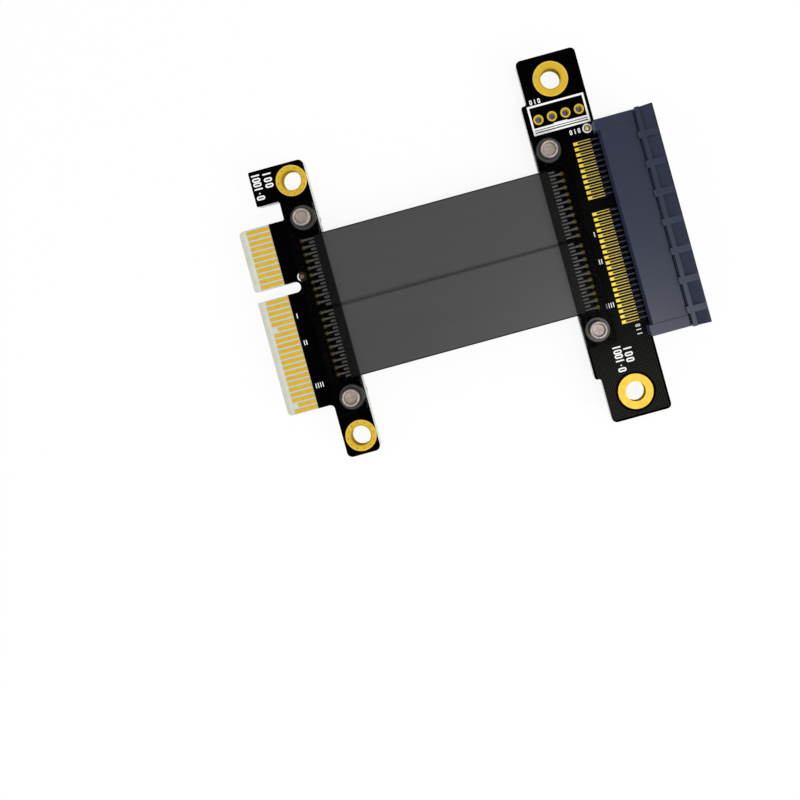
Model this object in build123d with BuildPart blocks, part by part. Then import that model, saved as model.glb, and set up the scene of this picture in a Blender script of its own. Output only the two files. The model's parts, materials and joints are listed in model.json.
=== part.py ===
from build123d import *
import os

# A cable riser for an expansion card: a plug board with a card edge, flat ribbon cables on both of its
# faces, and a socket board that carries an edge-mounted slot connector. It lies flat, photographed face
# up. +X runs from the plug to the socket, +Y along the contact rows towards contact 1, +Z up. The
# origin is at the centre of the footprint, on the plane that the part rests on. Sizes are millimetres.

# Contact rows, the same on the card edge, in the slot and under its tails
contact_pitch = 1.0
contacts_before_key = 11
contacts_after_key = 21
key_step = 3.0
short_contacts = {"top": (17, 31), "bottom": (1,)}

# Layers of both boards
board_thickness = 1.6
copper_thickness = 0.05
mask_thickness = 0.03
silk_thickness = 0.02
mask_clearance = 0.05

# Card edge of the plug board, lengths along X counted from its end
tab_margin_high = 0.65
tab_margin_low = 0.5
tab_corner_radius = 0.9
tab_mask_start = 5.7
tab_bevel_length = 0.8
tab_bevel_height = 0.3
finger_space = 0.3
finger_start = 1.4
finger_mask_gap = 0.1
short_finger_start = 2.3
key_width = 1.9
key_depth = 8.35
key_mouth_radius = 0.4

# Rest of the plug board
plug_corner_radius = 1.0
plug_inner_radius = 0.8
notch_depth = 8.6
notch_width = 3.45
notch_radius = 0.35
hook_start = 4.5
hook_length = 6.4
hook_corner_radius = 0.3
leg_step = 0.15
cover_margin = 0.375

# Plated mounting holes
plug_hole_radius = 1.75
plug_ring_radius = 2.8
plug_hole_inset = 2.83
plug_hole_end = 3.35
plug_end_room = 7.5
socket_hole_radius = 1.8
socket_ring_radius = 3.17
socket_hole_end = 4.5
socket_hole_inset = 5.55
ring_via_radius = 0.09
ring_via_shift = 0.07
via_count = 12

# Ribbons: two side by side on each face
cable_length = 40.25
wires_per_ribbon = 20
wire_pitch = 0.635
wire_radius = 0.15
wire_play = 0.01
ribbon_margin = 0.25
ribbon_thickness = 0.7
ribbon_split = 0.1
jacket_lap = 1.55

# Stripped wire ends, their pads and solder, lengths along X counted from the cable edge of a board
long_wire_reach = 3.8
short_wire_reach = 2.56
wire_pad_start = 1.6
long_pad_width = 0.36
long_pad_eye = 3.87
long_pad_eye_radius = 0.37
short_pad_width = 0.46
short_pad_end = 2.7
solder_height = 0.28

# Clamp covers, rivets and washers
cover_width = 5.5
cover_inset = 0.05
lower_cover_inset = 0.4
cover_plate = 1.0
cover_corner_radius = 0.6
cover_ribbon_play = 0.35
cover_end = 2.94
rivet_ribbon_room = 3.11
plug_rivet_inset = 2.1
socket_rivet_inset = 2.5
rivet_radius = 1.0
rivet_play = 0.1
rivet_head_radius = 1.53
rivet_head_round = 0.15
rivet_bore_radius = 0.95
rivet_bore_depth = 1.15
rivet_cross_width = 0.22
rivet_cross_depth = 0.12
washer_radii = {"top": 2.22, "bottom": 1.75}
washer_thickness = 0.5
washer_chamfer = 0.12

# Socket board
socket_corner_radius = 0.9
socket_step = 1.05
socket_step_radius = 0.5
socket_step_high = 3.0
socket_step_low = 2.75
contact_pad_space = 0.33
contact_pad_length = 3.15
contact_pad_inset = 1.55
pad_cover_gap = 1.75

# Unfitted header and the small test pads
header_pitch = 2.5
header_ways = 4
header_hole_radius = 0.58
header_ring_radius = 0.9
header_room = 3.15
header_hole_room = 6.55
header_inset = 5.8
test_hole_radius = 0.2
test_pad_radius = 0.43
plug_test_x = 9.0
plug_test_key = 1.55
socket_test_inset = 1.55
socket_test_room = 2.2

# White marks: a ring round each test pad, the header's outline, lane tallies and rows of plain shapes
test_ring_radius = 0.85
test_ring_line = 0.25
header_box_end = 1.475
header_box_width = 5.35
header_box_line = 0.35
header_rail_gap = 0.2
header_rail_width = 0.24
header_rail_space = 0.14
header_tab_length = 2.5
header_tab_rise = 0.16
mark_tall = 1.5
mark_low = 0.9
mark_slimness = 0.5
mark_line_share = 0.17
mark_pitch_low = 0.75
mark_pitch_fine = 0.82
mark_pitch_wide = 1.05
lane_contacts = {1: 16, 2: 21, 4: 29}
lane_mark_pitch = 0.42
lane_mark_offset = 0.6

# Slot connector, lengths along X counted from its mouth unless said otherwise
back_wall = 1.66
end_wall_high = 2.0
end_wall_low = 2.8
housing_height = 7.6
pad_drop = 0.2
ear_reach = 0.75
ear_width = 1.95
ear_play = 0.05
groove_width = 0.36
groove_depth = 0.8
flange_depth = 3.26
flange_rise = 0.6
flange_overhang = 0.15
crest_width = 0.78
panel_depth = 0.75
mouth_chamfer = 0.12
rib_count = 7
rib_width = 1.19
first_rib = 4.74
last_rib = 2.87
edge_round = 0.2
slot_play = 0.15
slot_lead = 0.55
slot_lead_depth = 0.7
channel_wall = 0.3
channel_roof = 0.475
channel_front_wall = 0.6

# Spring contacts
contact_side_play = 0.1
contact_hole_play = 0.02
contact_thickness = 0.2
contact_bend_radius = 0.4
tail_width = 0.28
tail_on_pad = 2.35
spring_bend_start = 0.25
spring_rise = 1.1
spring_flat = 1.8
spring_roof_gap = 0.275
spring_bite = 0.155
spring_touch_inset = 2.15
spring_tip_inset = 1.05
spring_tip_lift = 0.525

# Places along Y
row_length = (contacts_before_key + contacts_after_key - 2) * contact_pitch + key_step
first_contact_y = row_length / 2
second_group_y = first_contact_y - (contacts_before_key - 1) * contact_pitch - key_step
contact_ys = [first_contact_y - n * contact_pitch for n in range(contacts_before_key)]
contact_ys += [second_group_y - n * contact_pitch for n in range(contacts_after_key)]
lane_ys = {lanes: contact_ys[number - 1] + contact_pitch / 2 for lanes, number in lane_contacts.items()}
key_y = second_group_y + key_step / 2
tab_high_y = first_contact_y + tab_margin_high
tab_low_y = -first_contact_y - tab_margin_low
ribbon_width = wires_per_ribbon * wire_pitch + 2 * ribbon_margin
ribbon_ys = [(ribbon_width + ribbon_split) / 2, -(ribbon_width + ribbon_split) / 2]
ribbons_high_y = ribbon_width + ribbon_split / 2
first_wire = (wires_per_ribbon - 1) / 2 * wire_pitch
wire_offsets = [first_wire - n * wire_pitch for n in range(wires_per_ribbon)]
rivet_y = ribbons_high_y + rivet_ribbon_room
cover_high_y = rivet_y + cover_end
notch_high_y = tab_high_y + notch_width
plug_end_y = max(notch_high_y + hook_length, cover_high_y + plug_end_room)
slot_high_y = tab_high_y + slot_play
slot_low_y = tab_low_y - slot_play
housing_high_y = slot_high_y + end_wall_high
housing_low_y = slot_low_y - end_wall_low
flange_high_y = housing_high_y + flange_overhang
flange_low_y = housing_low_y - flange_overhang
header_y = max(housing_high_y, cover_high_y) + header_room
socket_hole_y = header_y + header_hole_room
socket_end_y = socket_hole_y + socket_hole_end

# Places along X
plug_depth = notch_depth + cover_margin + cover_width + cover_inset
socket_depth = cover_inset + cover_width + pad_cover_gap + contact_pad_length + contact_pad_inset
slot_depth = key_depth - slot_play
housing_depth = back_wall + slot_depth
overall_length = plug_depth + cable_length + socket_depth + housing_depth
tab_x = -overall_length / 2
plug_cable_x = tab_x + plug_depth
socket_cable_x = plug_cable_x + cable_length
connector_x = socket_cable_x + socket_depth
mouth_x = connector_x + housing_depth
slot_floor_x = mouth_x - slot_depth
pad_middle_x = connector_x - contact_pad_inset - contact_pad_length / 2
header_x = connector_x - header_inset

# Heights: the connector's flange rests on the ground, and the boards lie at its middle
flange_half = housing_height / 2 + flange_rise
middle_z = flange_half
board_half = board_thickness / 2
board_top = middle_z + board_half
board_bottom = middle_z - board_half
mask_top = board_top + mask_thickness
pad_face = board_half + copper_thickness
cover_foot = board_half + mask_thickness
ribbon_offset = cover_foot + ribbon_thickness / 2
cover_ceiling = cover_foot + ribbon_thickness
cover_face = cover_ceiling + cover_plate
washer_face = cover_face + washer_thickness
rivet_face = flange_half
faces = {"top": 1, "bottom": -1}

# Drilled places of each board
plug_hole_x = plug_cable_x - plug_hole_inset
socket_hole_x = connector_x - socket_hole_inset
plug_holes = [(plug_hole_x, plug_end_y - plug_hole_end), (plug_hole_x, plug_hole_end - plug_end_y)]
socket_holes = [(socket_hole_x, socket_hole_y), (socket_hole_x, -socket_hole_y)]
header_first_x = header_x - (header_ways - 1) / 2 * header_pitch
header_places = [(header_first_x + n * header_pitch, header_y) for n in range(header_ways)]
plug_test_place = (tab_x + plug_test_x, key_y + plug_test_key)
socket_test_place = (connector_x - socket_test_inset, first_contact_y + socket_test_room)
plug_rivet_x = plug_cable_x - plug_rivet_inset
socket_rivet_x = socket_cable_x + socket_rivet_inset
rivet_places = {
    "plug": [(plug_rivet_x, rivet_y), (plug_rivet_x, -rivet_y)],
    "socket": [(socket_rivet_x, rivet_y), (socket_rivet_x, -rivet_y)],
}

os.makedirs("parts", exist_ok=True)


def save(piece, name):
    """Label a finished piece and write it."""
    piece.part.label = name
    export_step(piece.part, f"parts/{name}.step")


def box_between(low, high, mode=Mode.ADD):
    """Add or cut an upright box in the part being built, from its low corner to its high corner."""
    size = [b - a for a, b in zip(low, high)]
    middle = tuple((a + b) / 2 for a, b in zip(low, high))
    with Locations(middle):
        Box(*size, mode=mode)


def inland(end, reach):
    """The X that lies a given way inland from the cable edge of the plug or the socket board."""
    if end == "plug":
        return plug_cable_x - reach
    return socket_cable_x + reach


def wire_ends(end):
    """The y of all long and of all short stripped wires at the plug or at the socket."""
    first = [y + offset for y in ribbon_ys for offset in wire_offsets[0::2]]
    second = [y + offset for y in ribbon_ys for offset in wire_offsets[1::2]]
    if end == "plug":
        return first, second
    return second, first


# Plan of the plug board, with its key slot cut into the card edge
with BuildSketch() as plug_plan:
    with BuildLine():
        FilletPolyline(
            (tab_x, tab_low_y),
            (tab_x + notch_depth - leg_step, tab_low_y),
            (tab_x + notch_depth - leg_step, -plug_end_y),
            (plug_cable_x, -plug_end_y),
            (plug_cable_x, plug_end_y),
            (tab_x + hook_start, plug_end_y),
            (tab_x + hook_start, notch_high_y),
            (tab_x + notch_depth, notch_high_y),
            (tab_x + notch_depth, tab_high_y),
            (tab_x, tab_high_y),
            radius=[
                tab_corner_radius,
                plug_inner_radius,
                plug_corner_radius,
                plug_corner_radius,
                plug_corner_radius,
                hook_corner_radius,
                hook_corner_radius,
                notch_radius,
                notch_radius,
                tab_corner_radius,
            ],
            close=True,
        )
    make_face()
    key_flat = key_depth - key_width / 2
    with Locations((tab_x + key_flat / 2, key_y)):
        Rectangle(key_flat, key_width, mode=Mode.SUBTRACT)
    with Locations((tab_x + key_flat, key_y)):
        Circle(key_width / 2, mode=Mode.SUBTRACT)
    key_corners = [v for v in plug_plan.vertices().group_by(Axis.X)[0] if abs(v.Y - key_y) < key_width]
    fillet(key_corners, key_mouth_radius)

# Plan of the socket board, a step wider on the cable's side along its middle
step_radius = min(socket_step_radius, 0.45 * socket_step)
with BuildSketch() as socket_plan:
    with BuildLine():
        FilletPolyline(
            (socket_cable_x, -header_y - socket_step_low),
            (socket_cable_x + socket_step, -header_y - socket_step_low),
            (socket_cable_x + socket_step, -socket_end_y),
            (connector_x, -socket_end_y),
            (connector_x, socket_end_y),
            (socket_cable_x + socket_step, socket_end_y),
            (socket_cable_x + socket_step, header_y + socket_step_high),
            (socket_cable_x, header_y + socket_step_high),
            radius=[
                step_radius,
                step_radius,
                socket_corner_radius,
                socket_corner_radius,
                socket_corner_radius,
                socket_corner_radius,
                step_radius,
                step_radius,
            ],
            close=True,
        )
    make_face()

# Board cores
with BuildPart() as plug_board:
    with BuildSketch(Plane.XY.offset(board_bottom)):
        add(plug_plan.sketch)
        with Locations(plug_holes):
            Circle(plug_hole_radius + copper_thickness, mode=Mode.SUBTRACT)
        with Locations(rivet_places["plug"]):
            Circle(rivet_radius + rivet_play, mode=Mode.SUBTRACT)
        with Locations(plug_test_place):
            Circle(test_hole_radius + copper_thickness, mode=Mode.SUBTRACT)
    extrude(amount=board_thickness)
    # The card edge is bevelled on both faces.
    for side in faces.values():
        face_z = middle_z + side * board_half
        with BuildSketch(Plane.XZ.offset(-tab_high_y)):
            with BuildLine():
                Polyline(
                    (tab_x, face_z),
                    (tab_x + tab_bevel_length, face_z),
                    (tab_x, face_z - side * tab_bevel_height),
                    close=True,
                )
            make_face()
        extrude(amount=tab_high_y - tab_low_y, mode=Mode.SUBTRACT)
save(plug_board, "plug_board")

with BuildPart() as socket_board:
    with BuildSketch(Plane.XY.offset(board_bottom)):
        add(socket_plan.sketch)
        with Locations(socket_holes):
            Circle(socket_hole_radius + copper_thickness, mode=Mode.SUBTRACT)
        with Locations(rivet_places["socket"]):
            Circle(rivet_radius + rivet_play, mode=Mode.SUBTRACT)
        with Locations(header_places):
            Circle(header_hole_radius + copper_thickness, mode=Mode.SUBTRACT)
        with Locations(socket_test_place):
            Circle(test_hole_radius + copper_thickness, mode=Mode.SUBTRACT)
    extrude(amount=board_thickness)
save(socket_board, "socket_board")


def draw_wire_pads(end, grow, mode=Mode.ADD):
    """Draw every wire pad of a board, each grown outwards by a clearance."""
    long_ys, short_ys = wire_ends(end)
    long_x = inland(end, (wire_pad_start + long_pad_eye - grow) / 2)
    short_x = inland(end, (wire_pad_start + short_pad_end) / 2)
    with Locations([(long_x, y) for y in long_ys]):
        Rectangle(long_pad_eye - wire_pad_start + grow, long_pad_width + 2 * grow, mode=mode)
    with Locations([(inland(end, long_pad_eye), y) for y in long_ys]):
        Circle(long_pad_eye_radius + grow, mode=mode)
    with Locations([(short_x, y) for y in short_ys]):
        Rectangle(short_pad_end - wire_pad_start + 2 * grow, short_pad_width + 2 * grow, mode=mode)


def draw_contact_pads(grow, mode=Mode.ADD):
    """Draw the pads under the connector's tails, each grown outwards by a clearance."""
    width = contact_pitch - contact_pad_space + 2 * grow
    with Locations([(pad_middle_x, y) for y in contact_ys]):
        Rectangle(contact_pad_length + 2 * grow, width, mode=mode)


def draw_fingers(short_numbers):
    """Draw the card edge's fingers, the presence contacts of this face shorter than the rest."""
    end_x = tab_x + tab_mask_start - finger_mask_gap
    for start, wanted in ((finger_start, False), (short_finger_start, True)):
        length = end_x - tab_x - start
        numbered = enumerate(contact_ys, start=1)
        places = [(end_x - length / 2, y) for number, y in numbered if (number in short_numbers) == wanted]
        with Locations(places):
            Rectangle(length, contact_pitch - finger_space)


# Solder mask: the board's plan with a window round each pad and hole
with BuildSketch() as plug_mask_plan:
    add(plug_plan.sketch)
    with Locations((tab_x + tab_mask_start / 2, 0)):
        Rectangle(tab_mask_start, tab_high_y - tab_low_y + tab_margin_high, mode=Mode.SUBTRACT)
    with Locations(plug_holes):
        Circle(plug_ring_radius + mask_clearance, mode=Mode.SUBTRACT)
    with Locations(rivet_places["plug"]):
        Circle(rivet_radius + rivet_play, mode=Mode.SUBTRACT)
    with Locations(plug_test_place):
        Circle(test_pad_radius + mask_clearance, mode=Mode.SUBTRACT)
    draw_wire_pads("plug", mask_clearance, mode=Mode.SUBTRACT)
with BuildSketch() as socket_mask_plan:
    add(socket_plan.sketch)
    with Locations(socket_holes):
        Circle(socket_ring_radius + mask_clearance, mode=Mode.SUBTRACT)
    with Locations(rivet_places["socket"]):
        Circle(rivet_radius + rivet_play, mode=Mode.SUBTRACT)
    with Locations(header_places):
        Circle(header_ring_radius + mask_clearance, mode=Mode.SUBTRACT)
    with Locations(socket_test_place):
        Circle(test_pad_radius + mask_clearance, mode=Mode.SUBTRACT)
    draw_contact_pads(mask_clearance, mode=Mode.SUBTRACT)
    draw_wire_pads("socket", mask_clearance, mode=Mode.SUBTRACT)
# The mask of the lower face closes the header's holes.
with BuildSketch() as socket_mask_bottom_plan:
    add(socket_mask_plan.sketch)
    with Locations(header_places):
        Circle(header_ring_radius + mask_clearance)

with BuildSketch() as fingers_top_plan:
    draw_fingers(short_contacts["top"])
with BuildSketch() as fingers_bottom_plan:
    draw_fingers(short_contacts["bottom"])
with BuildSketch() as contact_pad_plan:
    draw_contact_pads(0)
with BuildSketch() as plug_wire_pad_plan:
    draw_wire_pads("plug", 0)
with BuildSketch() as socket_wire_pad_plan:
    draw_wire_pads("socket", 0)

# Every flat layer, by name: its plan and its thickness. A layer lies on the face that its name ends in.
flat_layers = {
    "plug_mask_top": (plug_mask_plan, mask_thickness),
    "plug_mask_bottom": (plug_mask_plan, mask_thickness),
    "plug_fingers_top": (fingers_top_plan, copper_thickness),
    "plug_fingers_bottom": (fingers_bottom_plan, copper_thickness),
    "plug_wire_pads_top": (plug_wire_pad_plan, copper_thickness),
    "plug_wire_pads_bottom": (plug_wire_pad_plan, copper_thickness),
    "socket_mask_top": (socket_mask_plan, mask_thickness),
    "socket_mask_bottom": (socket_mask_bottom_plan, mask_thickness),
    "socket_contact_pads_top": (contact_pad_plan, copper_thickness),
    "socket_contact_pads_bottom": (contact_pad_plan, copper_thickness),
    "socket_wire_pads_top": (socket_wire_pad_plan, copper_thickness),
    "socket_wire_pads_bottom": (socket_wire_pad_plan, copper_thickness),
}
for name, (plan, thickness) in flat_layers.items():
    base = board_top if name.endswith("top") else board_bottom - thickness
    with BuildPart() as layer:
        with BuildSketch(Plane.XY.offset(base)):
            add(plan.sketch)
        extrude(amount=thickness)
    save(layer, name)

# Plated holes, by name: places, hole radius, ring radius, plan that clips the rings, faces with a ring, and
# the small vias in a ring
both = ("top", "bottom")
upper = ("top",)
plated_holes = {
    "plug_hole_platings": (plug_holes, plug_hole_radius, plug_ring_radius, plug_plan, both, via_count),
    "socket_hole_platings": (socket_holes, socket_hole_radius, socket_ring_radius, socket_plan, both, 0),
    "header_hole_platings": (header_places, header_hole_radius, header_ring_radius, socket_plan, upper, 0),
    "plug_test_pad": ([plug_test_place], test_hole_radius, test_pad_radius, plug_plan, both, 0),
    "socket_test_pad": ([socket_test_place], test_hole_radius, test_pad_radius, socket_plan, both, 0),
}
for name, (places, hole_radius, ring_radius, plan, ring_faces, vias) in plated_holes.items():
    with BuildPart() as plating:
        for face in ring_faces:
            base = board_top if face == "top" else board_bottom - copper_thickness
            with BuildSketch(Plane.XY.offset(base)):
                with Locations(places):
                    Circle(ring_radius)
                add(plan.sketch, mode=Mode.INTERSECT)
                if vias:
                    with Locations(places):
                        with PolarLocations((hole_radius + ring_radius) / 2 + ring_via_shift, vias):
                            Circle(ring_via_radius, mode=Mode.SUBTRACT)
            extrude(amount=copper_thickness)
        with BuildSketch(Plane.XY.offset(board_bottom)):
            with Locations(places):
                Circle(hole_radius + copper_thickness)
        extrude(amount=board_thickness)
        with BuildSketch(Plane.XY.offset(board_bottom - copper_thickness)):
            with Locations(places):
                Circle(hole_radius)
        extrude(amount=board_thickness + 2 * copper_thickness, mode=Mode.SUBTRACT)
    save(plating, name)


def mark_row(x, y, marks, pitch, height, along):
    """Draw a row of plain white shapes, centred at x, y, that runs along X or along Y.

    In marks, I is a bar, O is a slim ring and . is a dot."""
    turn = 0 if along == "X" else 90
    line = mark_line_share * height
    width = mark_slimness * height
    for n, mark in enumerate(marks):
        step = (n - (len(marks) - 1) / 2) * pitch
        place = (x + step, y) if along == "X" else (x, y - step)
        with Locations(place):
            if mark == "I":
                Rectangle(line, height, rotation=turn)
            elif mark == "O":
                SlotOverall(height, width, rotation=turn + 90)
                SlotOverall(height - 2 * line, width - 2 * line, rotation=turn + 90, mode=Mode.SUBTRACT)
            else:
                Circle(line / 2)


def test_ring(place):
    """Draw the white ring round a test pad."""
    with Locations(place):
        Circle(test_ring_radius)
        Circle(test_ring_radius - test_ring_line, mode=Mode.SUBTRACT)


def lane_tallies(x, side):
    """Draw one, two and four short bars beside the contact rows, from x towards one side."""
    for lanes, y in lane_ys.items():
        middle_x = x + side * (lanes - 1) / 2 * lane_mark_pitch
        mark_row(middle_x, y, "I" * lanes, lane_mark_pitch, mark_low, "X")


# White marks. Rows of plain shapes stand where a board carries its print: x, y, marks, pitch, height and
# direction of each
plug_marks = [
    (tab_x + hook_start + 3.2, plug_end_y - 2.1, "IOO", mark_pitch_wide, mark_tall, "Y"),
    (tab_x + hook_start + 1.15, plug_end_y - 2.9, "IOOI.O", mark_pitch_fine, mark_tall, "Y"),
]
socket_marks = [
    (header_x - 3.55, header_y + 3.3, "OIO", mark_pitch_low, mark_low, "X"),
    (connector_x - 3.8, first_contact_y + 2.2, "OIO", mark_pitch_low, mark_low, "X"),
    (connector_x - 2.1, -first_contact_y - 1.95, "OII", mark_pitch_low, mark_low, "Y"),
    (connector_x - 5.0, -first_contact_y - 5.7, "IOO", mark_pitch_wide, mark_tall, "Y"),
    (connector_x - 6.85, -first_contact_y - 6.1, "IOOI.O", mark_pitch_fine, mark_tall, "Y"),
]
with BuildPart() as plug_silkscreen:
    with BuildSketch(Plane.XY.offset(mask_top)):
        test_ring(plug_test_place)
        for row in plug_marks:
            mark_row(*row)
        lane_tallies(tab_x + tab_mask_start + lane_mark_offset, 1)
    extrude(amount=silk_thickness)
save(plug_silkscreen, "plug_silkscreen")

header_box_length = (header_ways - 1) * header_pitch + 2 * header_box_end
header_inner_low = header_y - header_box_width / 2 + header_box_line
header_rail_y = header_inner_low + header_rail_gap + header_rail_width / 2
header_lock_y = header_rail_y + header_rail_width / 2 + header_rail_space + header_box_line / 2
with BuildPart() as socket_silkscreen:
    with BuildSketch(Plane.XY.offset(mask_top)):
        test_ring(socket_test_place)
        with Locations((header_x, header_y)):
            Rectangle(header_box_length, header_box_width)
            Rectangle(
                header_box_length - 2 * header_box_line,
                header_box_width - 2 * header_box_line,
                mode=Mode.SUBTRACT,
            )
        with Locations((header_x, header_rail_y)):
            Rectangle(header_box_length - header_box_line, header_rail_width)
        with Locations((header_x, header_lock_y)):
            Rectangle(header_box_length - header_box_line, header_box_line)
        with Locations((header_x, header_lock_y + header_tab_rise)):
            Rectangle(header_tab_length, header_box_line)
        for row in socket_marks:
            mark_row(*row)
        lane_tallies(pad_middle_x - contact_pad_length / 2 - lane_mark_offset, -1)
        add(socket_mask_plan.sketch, mode=Mode.INTERSECT)
    extrude(amount=silk_thickness)
save(socket_silkscreen, "socket_silkscreen")

# Solder on the wire pads, each joint hollowed by its wire
long_solder_end = long_pad_eye - long_pad_eye_radius
for end in ("plug", "socket"):
    long_ys, short_ys = wire_ends(end)
    long_x = inland(end, (wire_pad_start + long_solder_end) / 2)
    short_x = inland(end, (wire_pad_start + short_pad_end) / 2)
    for face, side in faces.items():
        with BuildPart() as solder:
            with BuildSketch(Plane.XY.offset(middle_z + side * pad_face)):
                with Locations([(long_x, y) for y in long_ys]):
                    SlotOverall(long_solder_end - wire_pad_start, long_pad_width)
                with Locations([(short_x, y) for y in short_ys]):
                    SlotOverall(short_pad_end - wire_pad_start, short_pad_width)
            extrude(amount=side * solder_height)
            with BuildSketch(Plane.YZ.offset(min(inland(end, 0), inland(end, long_pad_eye)))):
                with Locations([(y, middle_z + side * ribbon_offset) for y in long_ys + short_ys]):
                    Circle(wire_radius + wire_play)
            extrude(amount=long_pad_eye, mode=Mode.SUBTRACT)
        save(solder, f"{end}_solder_{face}")

# Ribbons: a jacket with a bore for each wire, and the wires with their stripped ends. Each wire is long
# at one end and short at the other, in turn across the ribbon.
wire_length = cable_length + long_wire_reach + short_wire_reach
for face, side in faces.items():
    wire_z = middle_z + side * ribbon_offset
    for letter, ribbon_y in zip("ab", ribbon_ys):
        wire_places = [(ribbon_y + offset, wire_z) for offset in wire_offsets]
        with BuildPart() as jacket:
            with BuildSketch(Plane.YZ.offset(inland("plug", jacket_lap))):
                with Locations((ribbon_y, wire_z)):
                    SlotOverall(ribbon_width, ribbon_thickness)
                with Locations(wire_places):
                    Circle(wire_radius + wire_play, mode=Mode.SUBTRACT)
            extrude(amount=cable_length + 2 * jacket_lap)
        save(jacket, f"ribbon_jacket_{face}_{letter}")
        with BuildPart() as wires:
            with BuildSketch(Plane.YZ.offset(inland("plug", long_wire_reach))):
                with Locations(wire_places[0::2]):
                    Circle(wire_radius)
            extrude(amount=wire_length)
            with BuildSketch(Plane.YZ.offset(inland("plug", short_wire_reach))):
                with Locations(wire_places[1::2]):
                    Circle(wire_radius)
            extrude(amount=wire_length)
        save(wires, f"ribbon_wires_{face}_{letter}")

# Clamp covers: a plate with a foot at each end, open over the ribbons. The lower ones stand further in.
for end, places in rivet_places.items():
    for face, side in faces.items():
        inset = cover_inset if face == "top" else lower_cover_inset
        cover_x = inland(end, inset + cover_width / 2)
        with BuildPart() as cover:
            with BuildSketch(Plane.XY.offset(middle_z + side * cover_foot)):
                with Locations((cover_x, 0)):
                    RectangleRounded(cover_width, 2 * cover_high_y, cover_corner_radius)
                with Locations(places):
                    Circle(rivet_radius + rivet_play, mode=Mode.SUBTRACT)
            extrude(amount=side * (cover_face - cover_foot))
            recess_length = 2 * (ribbons_high_y + cover_ribbon_play)
            with Locations((cover_x, 0, middle_z + side * ribbon_offset)):
                Box(cover_width, recess_length, ribbon_thickness, mode=Mode.SUBTRACT)
        save(cover, f"{end}_cover_{face}")

# Washers and rivets that clamp both covers to a board, a large washer above and a small one below
with BuildPart() as washer_pair:
    for face, side in faces.items():
        with BuildSketch(Plane.XY.offset(side * cover_face)):
            Circle(washer_radii[face])
            Circle(rivet_radius + rivet_play, mode=Mode.SUBTRACT)
        extrude(amount=side * washer_thickness)
    rims = washer_pair.edges().filter_by(GeomType.CIRCLE).group_by(Axis.Z)
    chamfer([rims[n].sort_by(SortBy.RADIUS)[-1] for n in (0, -1)], washer_chamfer)

with BuildPart() as rivet:
    Cylinder(rivet_radius, 2 * washer_face)
    for side in faces.values():
        with Locations((0, 0, side * (washer_face + rivet_face) / 2)):
            Cylinder(rivet_head_radius, rivet_face - washer_face)
    head_rims = rivet.edges().filter_by(GeomType.CIRCLE).group_by(Axis.Z)
    fillet([head_rims[0][0], head_rims[-1][0]], rivet_head_round)
    # Each head is bored, with a shallow cross pressed into the floor of its bore.
    for side in faces.values():
        with Locations((0, 0, side * (rivet_face - rivet_bore_depth / 2))):
            Cylinder(rivet_bore_radius, rivet_bore_depth, mode=Mode.SUBTRACT)
        with Locations((0, 0, side * (rivet_face - rivet_bore_depth))):
            Box(2 * rivet_bore_radius, rivet_cross_width, rivet_cross_depth, mode=Mode.SUBTRACT)
            Box(rivet_cross_width, 2 * rivet_bore_radius, rivet_cross_depth, mode=Mode.SUBTRACT)

for end, places in rivet_places.items():
    with BuildPart() as washers:
        with Locations([(x, y, middle_z) for x, y in places]):
            add(washer_pair.part)
    save(washers, f"{end}_washers")
    with BuildPart() as rivets:
        with Locations([(x, y, middle_z) for x, y in places]):
            add(rivet.part)
    save(rivets, f"{end}_rivets")

# Slot connector housing: its upper half is built and then mirrored
ear_high_y = housing_high_y - ear_width
ear_low_y = housing_low_y + ear_width
body_z = middle_z + housing_height / 2
pad_z = body_z - pad_drop
crest_x = mouth_x - flange_depth
groove_x = crest_x - groove_width
panel_x = crest_x + crest_width
crest_z = middle_z + flange_half
slot_half = (board_thickness + slot_play) / 2
slot_z = middle_z + slot_half
channel_z = body_z - groove_depth - channel_roof
channel_end_x = mouth_x - channel_front_wall
key_web = key_width - 2 * slot_play
rib_pitch = (housing_high_y - housing_low_y - first_rib - last_rib) / (rib_count - 1)
rib_ys = [housing_high_y - first_rib - n * rib_pitch for n in range(rib_count)]
panel_high_ys = [flange_high_y] + [y - rib_width / 2 for y in rib_ys]
panel_low_ys = [y + rib_width / 2 for y in rib_ys] + [flange_low_y]
tail_z = middle_z + pad_face + contact_thickness / 2
contact_width = contact_pitch - channel_wall - 2 * contact_side_play
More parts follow.
